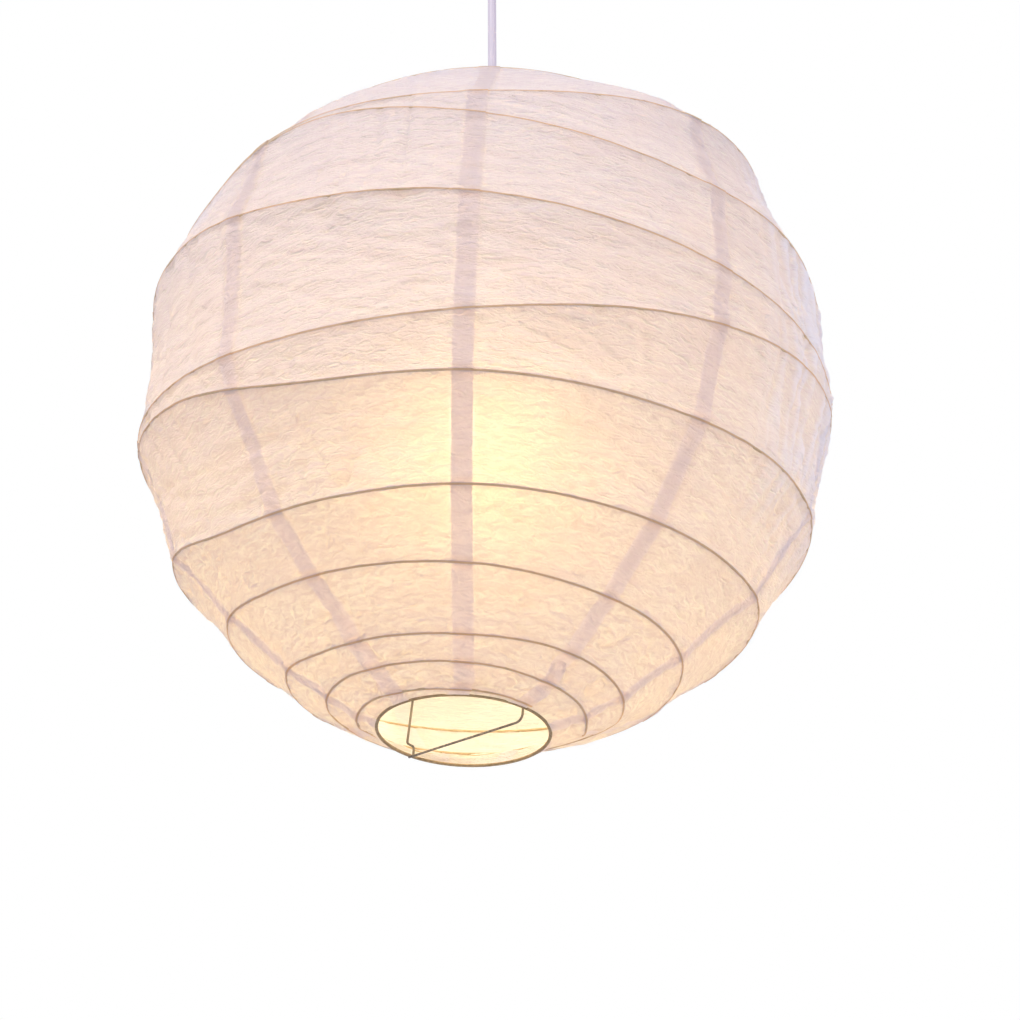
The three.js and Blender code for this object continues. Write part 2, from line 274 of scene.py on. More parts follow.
def banded(tree, value, low, high, bottom=0.0, top=1.0):
    """The value mapped from low..high to bottom..top and held there."""
    made = add_node(tree, "ShaderNodeMapRange", {"interpolation_type": "SMOOTHSTEP"}, Value=value,
                    From_Min=low, From_Max=high, To_Min=bottom, To_Max=top)
    return made.outputs["Result"]


def mixed(tree, share, first, second, blend="MIX"):
    """Two colours mixed by share."""
    made = add_node(tree, "ShaderNodeMix", {"data_type": "RGBA", "blend_type": blend}, i0=share, i6=first, i7=second)
    return made.outputs[2]


def crinkled(tree, lift=0.0):
    """The height of the crumpled paper: small wrinkles across it, sharper creases and a few long ones."""
    wrinkles = add_node(tree, "ShaderNodeTexNoise", Vector=object_pattern(tree, (9, 9, 3.2), lift),
                        Scale=1.0, Detail=3.0, Roughness=0.5, Distortion=0.6)
    creases = add_node(tree, "ShaderNodeTexNoise", {"noise_type": "RIDGED_MULTIFRACTAL"},
                       Vector=object_pattern(tree, (16, 16, 9), lift), Scale=1.0, Detail=2.0, Roughness=0.5)
    long_ones = add_node(tree, "ShaderNodeTexNoise", {"noise_type": "RIDGED_MULTIFRACTAL"},
                         Vector=object_pattern(tree, (95, 95, 60), lift), Scale=1.0, Detail=0.5, Distortion=0.4)
    both = add_node(tree, "ShaderNodeMath", {"operation": "MULTIPLY_ADD"}, i0=creases.outputs["Fac"],
                    i1=0.5, i2=wrinkles.outputs["Fac"])
    whole = add_node(tree, "ShaderNodeMath", {"operation": "MULTIPLY_ADD"}, i0=long_ones.outputs["Fac"],
                     i1=1.3, i2=both.outputs[0])
    return whole.outputs[0]


def rice_paper():
    """Kozo tissue, about 0.1 mm thick, pasted over the rib: a soft lavender white with long fibres,
    crinkled across, that lets a warm bulb glow through. Paste stains it tan along the wire, and a painted shadow
    of the wire darkens the glow there. The crinkles' facets carry painted shade and light, and the crests of
    gathered pleats a painted highlight."""
    material, tree, out = new_material("pasted kozo rice paper")
    crinkle = crinkled(tree)
    # Painted shade and light on the crinkles: by the slope of the crinkled height upwards, facets are painted darker
    # or lighter and pass a dimmer or brighter glow.
    lean = add_node(tree, "ShaderNodeMath", {"operation": "SUBTRACT"}, i0=crinkled(tree, 0.8), i1=crinkle)
    painted_facet_light = banded(tree, lean.outputs[0], -0.2, 0.2)
    grain = add_node(tree, "ShaderNodeTexNoise", Vector=object_pattern(tree, (2.6, 2.6, 1.8)),
                     Scale=1.0, Detail=4.0, Roughness=0.6)
    fibres = add_node(tree, "ShaderNodeTexNoise", Vector=object_pattern(tree, (4.5, 4.5, 1.8)),
                      Scale=1.0, Detail=2.0, Roughness=0.5, Distortion=1.6)
    clouds = add_node(tree, "ShaderNodeTexNoise", Vector=object_pattern(tree, (34, 34, 22)),
                      Scale=1.0, Detail=3.0, Roughness=0.5)
    from_rib = add_node(tree, "ShaderNodeAttribute", {"attribute_name": "from_rib_mm"})
    # Along the wire: a real tan paste stain on the sheet, and a painted shadow of the wire in the glow that passes.
    paste_stain_and_wire_shadow = banded(tree, from_rib.outputs["Fac"], 0.3, 1.0, 1.0, 0.0)
    paste = banded(tree, from_rib.outputs["Fac"], 0.8, 6.0, 0.3, 0.0)
    off_middle = add_node(tree, "ShaderNodeMath", {"operation": "SUBTRACT"}, i0=fibres.outputs["Fac"], i1=0.5)
    strand_line = add_node(tree, "ShaderNodeMath", {"operation": "ABSOLUTE"}, i0=off_middle.outputs[0])
    strand = banded(tree, strand_line.outputs[0], 0.0, 0.03, 0.55, 0.0)
    soft = banded(tree, clouds.outputs["Fac"], 0.35, 0.7, 0.0, 0.45)
    lap = add_node(tree, "ShaderNodeAttribute", {"attribute_name": "pasted_lap"})
    # The sheet's colour carries painted shade and light on the crinkles' facets.
    sheet = mixed(tree, painted_facet_light, linear("#E6E3EE"), linear("#FDFCFF"))
    sheet = mixed(tree, soft, sheet, linear("#ECE8F0"))
    # Gathered slack paper and pleat crests: the crests are a painted highlight, near white, and the slack and crests
    # pass less glow.
    slack = add_node(tree, "ShaderNodeAttribute", {"attribute_name": "slack_and_crest_highlight"})
    sheet = mixed(tree, slack.outputs["Fac"], sheet, linear("#FFFDFF"))
    sheet = mixed(tree, paste, sheet, linear("#F3EAE4"))
    sheet = mixed(tree, paste_stain_and_wire_shadow, sheet, linear("#E9C594"))
    # The glow that passes carries painted shade and light on the crinkles' facets.
    light = mixed(tree, painted_facet_light, linear("#F5D070"), linear("#FFEC9C"))
    light = mixed(tree, soft, light, linear("#F8D680"))
    light = mixed(tree, strand, light, linear("#DFAE58"))
    light = mixed(tree, lap.outputs["Fac"], light, linear("#FBEBD6"))
    light = mixed(tree, paste, light, linear("#F2CE88"))
    # Painted shadow of the wire: the glow over the wire is painted a darker tan.
    light = mixed(tree, paste_stain_and_wire_shadow, light, linear("#C4985A"))
    fine = add_node(tree, "ShaderNodeMath", {"operation": "MULTIPLY_ADD"}, i0=grain.outputs["Fac"],
                    i1=0.22, i2=crinkle)
    bump = add_node(tree, "ShaderNodeBump", Strength=0.85, Distance=2.6 * MM, Height=fine.outputs[0])
    face = add_node(tree, "ShaderNodeBsdfPrincipled", Base_Color=sheet, Roughness=0.6, IOR=1.45,
                    Specular_IOR_Level=0.4, Normal=bump.outputs["Normal"])
    through = add_node(tree, "ShaderNodeBsdfTranslucent", Color=light, Normal=bump.outputs["Normal"])
    hazed = add_node(tree, "ShaderNodeBsdfRefraction", Color=light, Roughness=1.0, IOR=1.45,
                     Normal=bump.outputs["Normal"])
    passing = add_node(tree, "ShaderNodeMixShader", i0=0.14, i1=through.outputs[0], i2=hazed.outputs[0])
    # Less glow passes right over the wire: painted shadow of the wire.
    clear = banded(tree, from_rib.outputs["Fac"], 0.2, 0.85, 0.05, 1.0)
    share = add_node(tree, "ShaderNodeMath", {"operation": "MULTIPLY_ADD"}, i0=lap.outputs["Fac"], i1=0.17, i2=0.31)
    share = add_node(tree, "ShaderNodeMath", {"operation": "MULTIPLY"}, i0=share.outputs[0], i1=clear)
    # Slack paper and the painted-highlight crests pass less glow.
    share = add_node(tree, "ShaderNodeMath", {"operation": "MULTIPLY"}, i0=share.outputs[0],
                     i1=banded(tree, slack.outputs["Fac"], 0.0, 1.0, 1.0, 0.38))
    whole = add_node(tree, "ShaderNodeMixShader", i0=share.outputs[0], i1=face.outputs[0], i2=passing.outputs[0])
    tree.links.new(whole.outputs[0], out.inputs["Surface"])
    return material


def plain_material(name, light_colour, dark_colour, spacing, roughness, metallic=0.0, bump_mm=0.05,
                   detail=4.0, specular=0.5, rough_spread=0.12):
    """A finish whose tone, gloss and relief all follow one noise of the given spacing in millimetres."""
    material, tree, out = new_material(name)
    texture = add_node(tree, "ShaderNodeTexNoise", Vector=object_pattern(tree, spacing), Scale=1.0,
                       Detail=detail, Roughness=0.6)
    tone = banded(tree, texture.outputs["Fac"], 0.3, 0.7)
    colour = mixed(tree, tone, linear(light_colour), linear(dark_colour))
    gloss = banded(tree, texture.outputs["Fac"], 0.3, 0.7, roughness - rough_spread / 2, roughness + rough_spread / 2)
    bump = add_node(tree, "ShaderNodeBump", Strength=0.5, Distance=bump_mm * MM, Height=texture.outputs["Fac"])
    shader = add_node(tree, "ShaderNodeBsdfPrincipled", Base_Color=colour, Roughness=gloss, Metallic=metallic,
                      Specular_IOR_Level=specular, Normal=bump.outputs["Normal"])
    tree.links.new(shader.outputs[0], out.inputs["Surface"])
    return material


BULB_LIGHT = 72.0


def lit_opal_glass():
    """Opal-coated lamp glass, lit: a smooth even glow with a faint gloss."""
    material, tree, out = new_material("lit opal lamp glass")
    cloud = add_node(tree, "ShaderNodeTexNoise", Vector=object_pattern(tree, (18, 18, 18)), Scale=1.0, Detail=2.0)
    colour = mixed(tree, banded(tree, cloud.outputs["Fac"], 0.3, 0.7), linear("#FFF6E0"), linear("#FFEFD0"))
    glow = mixed(tree, banded(tree, cloud.outputs["Fac"], 0.3, 0.7), linear("#FFEEC8"), linear("#FFEAC0"))
    place = add_node(tree, "ShaderNodeTexCoord")
    height = add_node(tree, "ShaderNodeSeparateXYZ", Vector=place.outputs["Object"])
    power = banded(tree, height.outputs["Z"], -0.515, -0.474, BULB_LIGHT, 0.0)
    shader = add_node(tree, "ShaderNodeBsdfPrincipled", Base_Color=colour, Roughness=0.25,
                      Emission_Color=glow, Emission_Strength=power)
    tree.links.new(shader.outputs[0], out.inputs["Surface"])
    return material


PAPER = rice_paper()
# Thin tan paper tape wound round steel wire and pasted: matt, with a fine twist of lighter ridges.
TAPED_WIRE = plain_material("tan paper-taped wire", "#BCA27A", "#9C845C", (3, 3, 1.2), 0.7, bump_mm=0.15)
# Kraft-lacquered steel wire: warm tan with darker scuffs.
RIB = plain_material("tan lacquered rib wire", "#E2CBA4", "#CDB085", (6, 6, 2), 0.55, bump_mm=0.08)
# Cold-drawn steel wire: grey-brown, with fine draw streaks and a dull shine.
DRAWN_WIRE = plain_material("cold-drawn steel wire", "#A59A8B", "#7E7466", (1.5, 1.5, 14), 0.38, metallic=1.0)
# Injection-moulded white polypropylene: very slightly uneven, soft gloss.
MOULDED = plain_material("moulded white polypropylene", "#F1EEE9", "#E9E5DE", (1.6, 1.6, 1.6), 0.42, bump_mm=0.04)
# Porcelain-white phenolic of the terminal block: duller and creamier than the mouldings.
TERMINAL = plain_material("ivory terminal block", "#DCD5C6", "#CFC7B6", (1.2, 1.2, 1.2), 0.5)
# Extruded PVC flex sheath: pale lavender white, satin, with faint lengthwise drawing.
SHEATH = plain_material("extruded pvc flex sheath", "#E8DCDE", "#DCCFD2", (0.9, 0.9, 30), 0.45, bump_mm=0.03)
# Stamped brass: warm yellow with a light tarnish.
BRASS = plain_material("stamped brass", "#C9A24B", "#A9823A", (2, 2, 2), 0.32, metallic=1.0)
# Spun aluminium of the lamp's screw cap: bright, a little worn on the thread.
SPUN_CAP = plain_material("spun aluminium cap", "#C9CACB", "#A8A9AB", (0.8, 0.8, 6), 0.3, metallic=1.0)
GLASS = lit_opal_glass()

# ---- Flex: the one cord, taut under the shade's weight from the rose down to the lampholder ----
FLEX_EXIT = -29
FLEX_BEND = -365
LEAN = math.atan(AXIS_X / MM / (FLEX_EXIT - FLEX_BEND))


def on_flex(z):
    return Vector(((FLEX_EXIT - z) * math.tan(LEAN) * MM, 0, z * MM))


def flex():
    route = [on_flex(z) for z in (-24.5, -60, -120, -180, -250, -320, -345, FLEX_BEND + 4)]
    route += [Vector((AXIS_X, 0, (FLEX_BEND - 6) * MM)), Vector((AXIS_X, 0, -384 * MM))]
    curve = bpy.data.curves.new("flex_cable", "CURVE")
    curve.dimensions = "3D"
    curve.bevel_depth = 3.2 * MM
    curve.bevel_resolution = 6
    curve.use_fill_caps = True
    spline = curve.splines.new("BEZIER")
    spline.bezier_points.add(len(route) - 1)
    for point, place in zip(spline.bezier_points, route):
        point.co = place
        point.handle_left_type = point.handle_right_type = "AUTO"
    piece = keep_piece("flex_cable", curve, "pendant", SHEATH)
    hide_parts("flex")
    return piece, sum((a - b).length for a, b in zip(route, route[1:]))


flex_cable, FLEX_LENGTH = flex()

# The strain relief: a tapered sleeve with five ribs, standing on the lampholder's cap.
sleeve = [[3.4, 0], [7.2, 0], [7.2, 1.6], [6.5, 2.2]]
for rib in range(5):
    low = 3.6 + 3.4 * rib
    r = 6.3 - 0.34 * rib
    sleeve += [[r - 0.8, low], [r - 0.8, low + 1.1], [r, low + 1.6], [r - 0.1, low + 2.9]]
sleeve += [[4.3, 21], [4.1, 22], [3.4, 22]]
gland_z = -370 + 0.9
gland = keep_piece("strain_relief", turned("strain_relief", sleeve, x=0, soften=0.15, lean=LEAN,
                                           pivot=on_flex(gland_z)), "pendant", MOULDED)
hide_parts("flex_gland")

# ---- Paper, rib and rings ----
COARSE = 1
PAPER_OVER_WIRE = 1.0 * MM
OVERLAP = 12 * MM
RIB_START = TURN_PLACES[0]
RIB_END = TURN_PLACES[-1]


def hold_at(azimuth, turns, number):
    """The latitude of one of the wires that hold the paper at an azimuth, counted from the bottom ring up."""
    if number in (0, len(turns) + 1):
        return 90 if number else -90
    angle = 360 * turns[-number] + azimuth
    past_ends = 0.05 * max(RIB_START - angle, 0) - 0.03 * max(angle - RIB_END, 0)
    return turn_latitude(angle) + past_ends


def wire_point(latitude):
    """Radius and height of the rib or a ring at a latitude, and the way out from it."""
    if abs(latitude) == 90:
        return Vector((rib_radius(latitude), rib_height(latitude))), Vector((1, 0))
    d = 0.5
    way = Vector((rib_radius(latitude + d) - rib_radius(latitude - d),
                  rib_height(latitude + d) - rib_height(latitude - d))).normalized()
    return Vector((rib_radius(latitude), rib_height(latitude))), Vector((way.y, -way.x))


# Where the shade stands off its round: azimuth and spread, latitude and spread, and by how many mm.
SWELLS = [(36, 24, 40, 12, 9), (62, 22, 42, 13, 4), (-38, 20, 38, 10, 6), (-60, 14, 22, 8, -5),
          (-80, 18, 12, 12, 3), (140, 34, -67, 8, -5), (-140, 30, -67, 8, -1)]


def hand_made(place):
    """The lantern's own unevenness: the mouth ring sits a little to the left, the last turns are drawn
    in at the back of it, and the upper right shoulder swells."""
    x, y = place.x - AXIS_X, place.y
    r = math.hypot(x, y)
    moved = place.copy()
    low = step_between(MIDDLE_Z - 0.9 * HALF_H, BOTTOM_Z, place.z)
    moved.x -= 3.8 * MM * low * (1 - step_between(0.053, 0.066, r))
    drawn = step_between(0.053, 0.068, r) * (1 - step_between(0.09, 0.15, r)) * low
    moved.y -= 9 * MM * drawn * step_between(0, 0.05, y)
    moved.z += (4 + 5 * step_between(-0.03, 0.04, x)) * MM * drawn * step_between(0, 0.04, y)
    azimuth = math.degrees(math.atan2(x, -y))
    latitude = math.degrees(math.asin(min(max((place.z - MIDDLE_Z) / HALF_H, -1), 1)))
    swell = sum(math.exp(-((azimuth - at) / wide) ** 2 - ((latitude - high) / tall) ** 2) * by * MM
                for at, wide, high, tall, by in SWELLS)
    moved += Vector((x, y, place.z - MIDDLE_Z)).normalized() * swell
    return moved


def crumple(place, from_wire, to_edge):
    """How far the paper stands off its smooth shape, in metres: wrinkles across it, small gathers
    that run out from the wire, and a few long soft creases down it."""
    p = place / MM
    across = noise.fractal(Vector((p.x / 30, p.y / 30, p.z / 8)), 0.9, 2.1, 3) * 0.5
    ridge = 1 - abs(noise.noise(Vector((p.x / 60 + 7, p.y / 60, p.z / 15))) * 2.2)
    across += max(ridge, 0) ** 3 * 0.8
    slant = 1 - abs(noise.noise(Vector((p.x / 45 + p.z / 22, p.y / 45 - p.z / 30, p.z / 30))) * 2.6)
    across -= max(slant, 0) ** 4 * 1.1
    gather = noise.noise(Vector((p.x / 7.5, p.y / 7.5, p.z / 42))) * math.exp(-from_wire / 0.011) * 1.6
    crease = 1 - abs(noise.noise(Vector((p.x / 21, p.y / 21, p.z / 150 + 3))) * 3.0)
    patch = step_between(0.0, 0.35, noise.noise(Vector((p.x / 90, p.y / 90 + 11, p.z / 110))))
    sides = step_between(0.1, 0.21, abs(place.x - AXIS_X))
    down = max(crease, 0) ** 2 * max(patch, sides) * 2.4
    hold = step_between(0, 0.004, from_wire)
    return (across + gather - down) * MM * (0.05 + 0.95 * hold) * step_between(0, 0.012, to_edge)


# Where the paper was pasted on slack and gathered: azimuth and spread, latitude and spread, and how much.
SLACK = [(72, 24, 2, 36, 1.0), (-66, 14, 24, 14, 0.5)]


def pleats(azimuth, height):
    """How much the slack paper gathers at a place, and how near that place is to a pleat's crest."""
    turned_to = (azimuth + 180) % 360 - 180
    latitude = math.degrees(math.asin(min(max((height - MIDDLE_Z) / HALF_H, -1), 1)))
    slack = sum(share * math.exp(-((turned_to - at) / wide) ** 4 - ((latitude - high) / tall) ** 4)
                for at, wide, high, tall, share in SLACK)
    line = noise.noise(Vector((azimuth * 0.36 + latitude * 0.03, latitude / 22, 5)))
    return slack, slack * max(1 - abs(line) * 3.2, 0)


def gore(number):
    """One strip of paper from ring to ring, pasted to each turn of the rib it crosses and lapped over
    its neighbour's edge on its right."""
    first = FIRST_SEAM + 360 / GORES * number
    turns = [n for n in range(-1, len(TURNS) + 1)
             if 360 * n + first + 40 > RIB_START and 360 * n + first < RIB_END]
    columns = 72 // COARSE
    rows = []
    for gap in range(len(turns) + 1):
        widest = max(hold_at(first + 10 * k, turns, gap + 1) - hold_at(first + 10 * k, turns, gap)
                     for k in range(5))
        rows.append(min(max(round(widest * HALF_H * math.pi / 180 / (2.0 * MM * COARSE)), 3), 52))
    total = sum(rows)
    bm = bmesh.new()
    bmesh.ops.create_grid(bm, x_segments=columns, y_segments=total, size=1)
    from_rib = bm.verts.layers.float.new("from_rib_mm")
    pasted_lap = bm.verts.layers.float.new("pasted_lap")
    slack_and_crest_highlight = bm.verts.layers.float.new("slack_and_crest_highlight")
    grid = {}
    for vert in bm.verts:
        column = round((vert.co.x + 1) / 2 * columns)
        row = round((vert.co.y + 1) / 2 * total)
        grid[column, row] = vert
    for column in range(columns + 1):
        share = column / columns
        row = 0
        for gap, count in enumerate(rows):
            for k in range(count + (gap == len(rows) - 1)):
                vert = grid[column, row]
                below = hold_at(first + 40 * share, turns, gap)
                above = hold_at(first + 40 * share, turns, gap + 1)
                half_lap = math.degrees(OVERLAP / 2 / rib_radius(below + (above - below) * k / count))
                azimuth = first - half_lap + share * (40 + 2 * half_lap)
                low, low_out = wire_point(hold_at(azimuth, turns, gap))
                high, high_out = wire_point(hold_at(azimuth, turns, gap + 1))
                low = low + low_out * PAPER_OVER_WIRE * 0.55
                high = high + high_out * PAPER_OVER_WIRE * 0.55
                chord = high - low
                long = max(chord.length, 1e-5)
                edge = min(1.3 * MM / long, 0.24)
                t = 0 if k == 0 else 1 if k == count else edge + (1 - 2 * edge) * (k - 1) / max(count - 2, 1)
                out = Vector((chord.y, -chord.x)) / long
                near = min(t, 1 - t) * long
                dip = 0.026 * long * math.sin(math.pi * t) ** 0.8
                at_ring = (gap == 0 and t < 0.5) or (gap == len(rows) - 1 and t > 0.5)
                over = 0 if at_ring else PAPER_OVER_WIRE * 0.45 * (1 - min(near / (1.3 * MM), 1))
                flat = low + chord * t + out * (over - dip)
                place = around(azimuth, flat.x, flat.y)
                to_ring = long * t if gap == 0 else long * (1 - t) if gap == len(rows) - 1 else 1
                lap = step_between(40 - 0.7 * half_lap, 40, azimuth - first + half_lap)
                slack, crest = pleats(azimuth, flat.y)
                off = crumple(place, near, to_ring) + 0.45 * MM * lap
                off += 2.0 * MM * crest * step_between(0, 0.006, near)
                # The crest share is a painted highlight on the pleats' crests; the slack share is the paper's own
                # gathering.
                vert[slack_and_crest_highlight] = 0.3 * slack + 0.7 * crest
                flat = flat + out * off
                vert.co = hand_made(around(azimuth, flat.x, flat.y))
                off_seam = min(abs(azimuth - first), abs(azimuth - first - 360 / GORES))
                vert[pasted_lap] = 1 - step_between(0.9 * half_lap, 1.2 * half_lap, off_seam)
                vert[from_rib] = 9 if at_ring else near / MM
                row += 1
    name = f"paper_gore_{number + 1}"
    for face in bm.faces:
        face.smooth = True
    mesh = bpy.data.meshes.new(name)
    bm.to_mesh(mesh)
    bm.free()
    piece = keep_piece(name, mesh, "shade", PAPER)
    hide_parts(f"gore_{number + 1}")
    return piece


def rib():
    """The hand-wound spiral, from under the crown to its cut end by the mouth."""
    steps = round((RIB_END - RIB_START) / 4)
    line = []
    for i in range(steps + 1):
        angle = RIB_START + (RIB_END - RIB_START) * i / steps
        latitude = turn_latitude(angle)
        line.append(hand_made(around(angle, rib_radius(latitude), rib_height(latitude))))
    piece = keep_piece("spiral_rib", wire("spiral_rib", line, RIB_WIRE), "shade", RIB)
    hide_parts("rib_wire")
    return piece


def end_ring(name, node, z, body):
    """A ring of taped wire, its two ends lapped and bound for 14 mm."""
    r = rib_radius(90)
    hoop = [hand_made(around(360 * k / 96, r, z)) for k in range(96)]
    lap = [hand_made(around(200 + 2 * k, r + 0.9 * MM, z)) for k in range(9)]
    mesh = joined(name, [wire(name, hoop, RING_WIRE, closed=True), wire(name, lap, RING_WIRE * 0.6)])
    piece = keep_piece(name, mesh, body, TAPED_WIRE)
    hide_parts(node)
    return piece


spiral_rib = rib()
crown_hoop = end_ring("crown_hoop", "top_ring", TOP_Z, "shade")
mouth_hoop = end_ring("mouth_hoop", "bottom_ring", BOTTOM_Z, "bottom_ring")
gores = [gore(k) for k in range(GORES)]

# The lantern folds by its bottom ring's rise, paper and rib closing up towards the top ring; here paper and rib each
# get a mesh of their own.
for soft in gores + [spiral_rib]:
    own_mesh(soft)

# ---- Stretcher: bent wire spot-welded to a flat collar ----
WIRE = 0.75 * MM
NEAR_AZIMUTH = 51
FAR_AZIMUTH = 223.6
ARM_AZIMUTHS = [137, 317]
COLLAR_TOP = -428.8 * MM
COLLAR_INNER = 20.3
COLLAR_OUTER = 26
COLLAR_THICK = 1.2
COLLAR_MID = COLLAR_TOP - COLLAR_THICK / 2 * MM
BAR_Z = BOTTOM_Z - (1.05 + 0.75 + 0.3) * MM
ARM_Z = TOP_Z - (1.05 + 0.75 + 0.3) * MM


def wire_route(places):
    """Points from (azimuth, radius in mm, height in metres)."""
    return [around(azimuth, r * MM, z) for azimuth, r, z in places]


def stretcher():
    top = COLLAR_TOP / MM
    low = top - COLLAR_THICK
    collar = turned("collar", [[COLLAR_INNER, low], [COLLAR_OUTER, low], [COLLAR_OUTER, top],
                               [COLLAR_INNER, top]], steps=72, soften=0.3)
    near = wire_route([
        (NEAR_AZIMUTH, COLLAR_OUTER - 5, COLLAR_MID),
        (NEAR_AZIMUTH, 34, COLLAR_MID - 3 * MM),
        (NEAR_AZIMUTH, 34.5, COLLAR_MID - 14 * MM),
        (NEAR_AZIMUTH, 39.5, BAR_Z),
        (FAR_AZIMUTH, 53.3, BAR_Z),
    ])
    far = wire_route([
        (FAR_AZIMUTH, COLLAR_OUTER - 5, COLLAR_MID),
        (FAR_AZIMUTH, 34, COLLAR_MID - 3 * MM),
        (FAR_AZIMUTH, 34.5, COLLAR_MID - 14 * MM),
        (FAR_AZIMUTH + 7, 49.4, BAR_Z + 6 * MM),
        (FAR_AZIMUTH, 49.4, BAR_Z + 6 * MM),
        (FAR_AZIMUTH, 49.4, BAR_Z),
    ])
    wires = [wire("near", near, WIRE, bend=6 * MM), wire("far", far, WIRE, bend=1.8 * MM)]
    for azimuth in ARM_AZIMUTHS:
        arm = wire_route([
            (azimuth, COLLAR_OUTER - 5, COLLAR_MID),
            (azimuth, COLLAR_OUTER + 3, COLLAR_MID + 4 * MM),
            (azimuth, 47.3, ARM_Z),
            (azimuth, 53.3, ARM_Z),
        ])
        wires.append(wire("arm", arm, WIRE, bend=4 * MM))
    piece = keep_piece("wire_stretcher", joined("wire_stretcher", [collar] + wires), "shade",
                       DRAWN_WIRE)
    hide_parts("stretcher")


stretcher()

# ---- Lampholder and bulb ----
CAP_TOP = -370
SEAM = -406
SHOULDER = -428.5
HOLDER_END = -446
HOLDER_R = 19.8
BULB_TOP = -418
GLASS_TOP = -448.3
BULB_WIDEST = -493
BULB_R = 30
THREAD_PITCH = 3.6


def arc(centre_r, centre_z, r, start, end, steps):
    """Points of a round stretch of a section, angles from straight out, upwards."""
    found = []
    for k in range(steps + 1):
        a = math.radians(start + (end - start) * k / steps)
        found.append([centre_r + r * math.cos(a), centre_z + r * math.sin(a)])
    return found


def threads(r, top, bottom, depth, pitch):
    """The rounded crests and hollows of a screw thread's section, from the top down."""
    count = int((top - bottom) / pitch * 8)
    return [[r + depth / 2 * math.cos(2 * math.pi * k / 8), top - pitch * k / 8] for k in range(count + 1)]


def lampholder():
    cap = [[3.6, CAP_TOP], [7.5, CAP_TOP]] + arc(7.5, CAP_TOP - 2, 2, 90, 35, 4)
    cap += [[15.5, CAP_TOP - 6.5], [HOLDER_R - 0.9, CAP_TOP - 15]]
    cap += [[HOLDER_R, CAP_TOP - 19], [HOLDER_R, SEAM + 1.2], [HOLDER_R - 0.5, SEAM]]
    cap += [[HOLDER_R - 2.2, SEAM], [HOLDER_R - 2.6, CAP_TOP - 18], [13.6, CAP_TOP - 8], [3.6, CAP_TOP - 3]]
    top = keep_piece("lampholder_cap", turned("lampholder_cap", cap, steps=96, soften=0.3), "pendant",
                     MOULDED)
    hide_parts("holder_cap")
    body = [[13.9, HOLDER_END], [15, HOLDER_END - 0.0], [HOLDER_R - 0.8, HOLDER_END], [HOLDER_R - 0.2, HOLDER_END + 0.6]]
    body += list(reversed(threads(HOLDER_R - 0.7, SHOULDER - 1, HOLDER_END + 2, 0.9, THREAD_PITCH)))
    body += [[HOLDER_R - 0.2, SHOULDER], [HOLDER_R + 2.4, SHOULDER], [HOLDER_R + 3, SHOULDER + 0.6]]
    body += [[HOLDER_R + 3, SHOULDER + 5], [HOLDER_R, SHOULDER + 7], [HOLDER_R, SEAM - 0.9], [HOLDER_R - 0.5, SEAM - 0.4]]
    body += [[0, SEAM - 0.4], [0, SEAM - 5], [13.9, SEAM - 5]]
    shell = keep_piece("lampholder_body", turned("lampholder_body", body, steps=96, soften=0.15), "pendant",
                       MOULDED)
    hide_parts("holder_body")


def shade_ring():
    """The clamp ring under the collar, with a row of finger grooves round it."""
    low = COLLAR_TOP / MM - COLLAR_THICK - 6.4
    bm = bmesh.new()
    inner = bmesh.ops.create_circle(bm, segments=144, radius=(HOLDER_R + 0.25) * MM)["verts"]
    outer = bmesh.ops.create_circle(bm, segments=144, radius=(HOLDER_R + 5.2) * MM)["verts"]
    for vert in outer:
        turn = math.atan2(vert.co.y, vert.co.x) / (2 * math.pi) * 24
        vert.co *= 1 - 0.045 * max(math.cos(2 * math.pi * turn), 0) ** 4
    edges = [e for e in bm.edges]
    ring = bmesh.ops.bridge_loops(bm, edges=edges)["faces"]
    raised = bmesh.ops.extrude_face_region(bm, geom=ring)["geom"]
    lifted = [v for v in raised if isinstance(v, bmesh.types.BMVert)]
    bmesh.ops.translate(bm, verts=lifted, vec=(0, 0, 6 * MM))
    bmesh.ops.recalc_face_normals(bm, faces=bm.faces)
    rims = [e for e in bm.edges if len(e.link_faces) == 2 and e.calc_face_angle() > 1.2]
    bmesh.ops.bevel(bm, geom=rims, offset=0.5 * MM, affect="EDGES", segments=2, profile=0.5, material=-1)
    bmesh.ops.translate(bm, verts=bm.verts, vec=(AXIS_X, 0, low * MM))
    piece = keep_piece("clamp_ring", from_bmesh(bm, "clamp_ring"), "pendant", MOULDED)
    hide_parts("shade_ring")


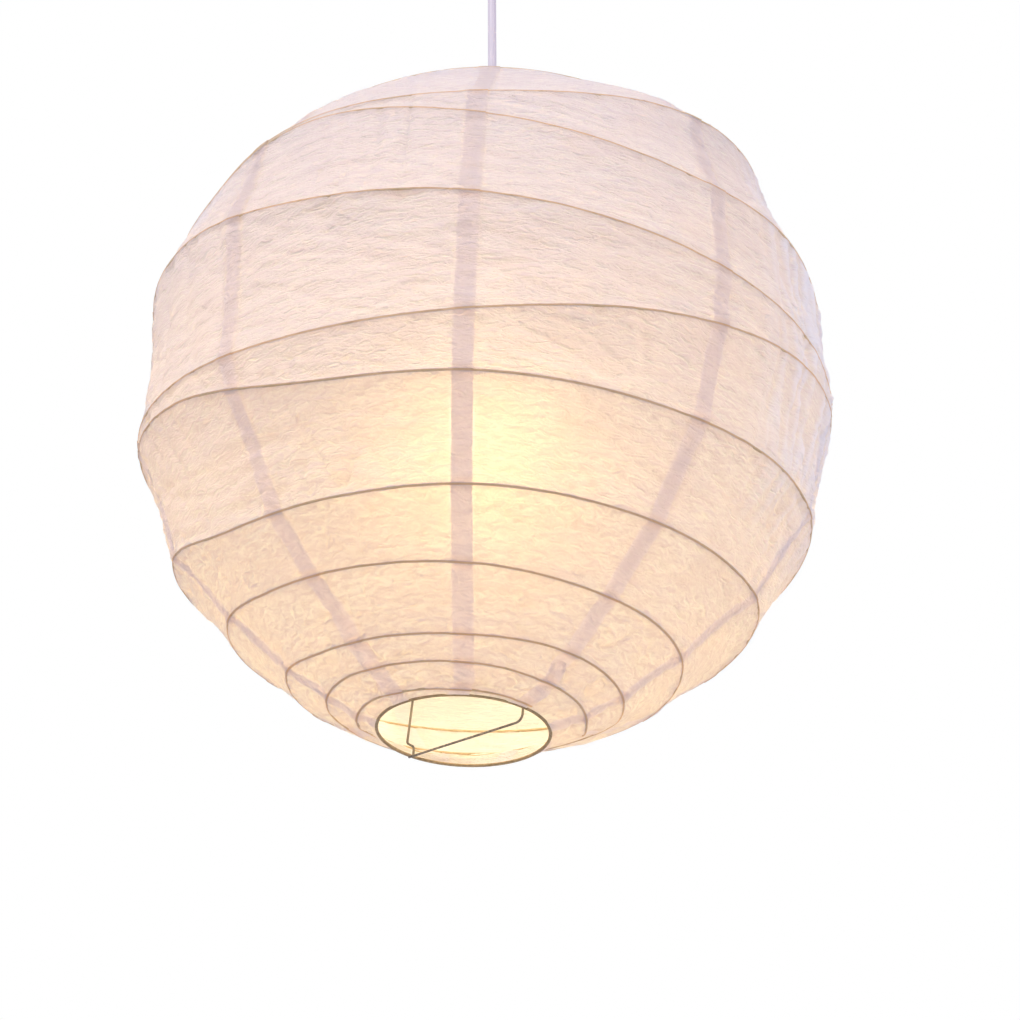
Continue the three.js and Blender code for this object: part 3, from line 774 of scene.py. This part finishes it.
def bulb():
    wall = 0.8
    glass = [[13.0, GLASS_TOP], [13.4, GLASS_TOP - 3], [14.4, GLASS_TOP - 8]]
    glass += [[17.0, GLASS_TOP - 15.5]] + arc(0, BULB_WIDEST, BULB_R, 48, -90, 24)
    glass += [[0, BULB_WIDEST - BULB_R]]
    inside = arc(0, BULB_WIDEST, BULB_R - wall, -90, 48, 24) + [[16.2, GLASS_TOP - 15.5]]
    inside += [[13.6, GLASS_TOP - 8], [12.2, GLASS_TOP]]
    bowl = keep_piece("lamp_glass", turned("lamp_glass", glass[:-1] + inside, steps=64), "bulb", GLASS)
    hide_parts("bulb_glass")
    cap = [[12.0, GLASS_TOP + 0.3], [13.0, GLASS_TOP + 0.3]]
    cap += list(reversed(threads(12.75, BULB_TOP - 6, GLASS_TOP + 3, 0.7, THREAD_PITCH)))
    cap += [[11.5, BULB_TOP - 3.5], [9, BULB_TOP - 1.2], [8.5, BULB_TOP - 1], [0, BULB_TOP - 1]]
    cap += [[0, BULB_TOP - 2], [8.3, BULB_TOP - 2], [11.9, BULB_TOP - 7]]
    screw = keep_piece("lamp_screw_cap", turned("lamp_screw_cap", cap, steps=64), "bulb", SPUN_CAP)
    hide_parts("bulb_cap")


lampholder()
shade_ring()
bulb()

# ---- Ceiling rose ----
CUP_R = 42


def rose_cup():
    low = -30
    section = [[4.2, low]] + [[9.5, low]] + [[20, low + 0.6]] + arc(CUP_R - 12, low + 10.5, 10, -80, -12, 8)
    section += [[CUP_R - 0.6, low + 20], [CUP_R, low + 24], [CUP_R, -1.2], [CUP_R - 0.6, -0.4]]
    section += [[CUP_R - 1.8, -0.4], [CUP_R - 1.8, low + 24]]
    section += list(reversed(arc(CUP_R - 13.5, low + 11.5, 8.8, -80, -12, 8)))
    section += [[10, low + 2], [4.2, low + 2]]
    piece = keep_piece("rose_cover", turned("rose_cover", section, x=0, steps=128, soften=0.25), "rose",
                       MOULDED)
    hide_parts("rose_cup")


rose_cup()

KEPT_NODES = {"rose_base": MOULDED, "rose_terminal": TERMINAL, "flex_grip": MOULDED,
              "holder_contact": BRASS, "bulb_tip": SPUN_CAP}
for name, material in KEPT_NODES.items():
    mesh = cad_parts[name].data
    mesh.materials.clear()
    mesh.materials.append(material)

# ---- Floor, air and light ----
FLOOR_Z = -2.4
floor_bm = bmesh.new()
bmesh.ops.create_grid(floor_bm, x_segments=1, y_segments=1, size=7, matrix=Matrix.Translation((0, 0, FLOOR_Z)))
floor = bpy.data.objects.new("floor", from_bmesh(floor_bm, "floor"))
bpy.context.scene.collection.objects.link(floor)
floor.data.materials.append(plain_material("matt pale floor", "#E4E1DD", "#DEDBD6", (40, 40, 40), 0.9))

def studio_air():
    """A white studio: seen as plain white, and lighting softly from all round, less from below."""
    world = bpy.data.worlds.new("studio")
    bpy.context.scene.world = world
    world.use_nodes = True
    tree = world.node_tree
    tree.nodes.clear()
    seen = add_node(tree, "ShaderNodeBackground", Color=(1, 1, 1, 1), Strength=1.0)
    lit = add_node(tree, "ShaderNodeBackground", Color=linear("#E1E4FF"), Strength=AIR_LIGHT)
    path = add_node(tree, "ShaderNodeLightPath")
    both = add_node(tree, "ShaderNodeMixShader", i0=path.outputs["Is Camera Ray"], i1=lit.outputs[0], i2=seen.outputs[0])
    tree.links.new(both.outputs[0], add_node(tree, "ShaderNodeOutputWorld").inputs["Surface"])


def soft_lamp(name, offset, size, energy):
    data = bpy.data.lights.new(name, "AREA")
    data.shape = "DISK"
    data.size = size
    data.energy = energy
    lamp = bpy.data.objects.new(name, data)
    bpy.context.scene.collection.objects.link(lamp)
    lamp.location = MIDDLE + Vector(offset)
    lamp.rotation_euler = (MIDDLE - lamp.location).to_track_quat("-Z", "Y").to_euler()


AIR_LIGHT = 0.84
studio_air()
soft_lamp("soft_key", (-1.7, -1.9, 2.1), 1.1, 38)
soft_lamp("soft_fill", (2.2, -1.6, 0.9), 1.6, 14)

bpy.context.scene.view_settings.view_transform = "Standard"
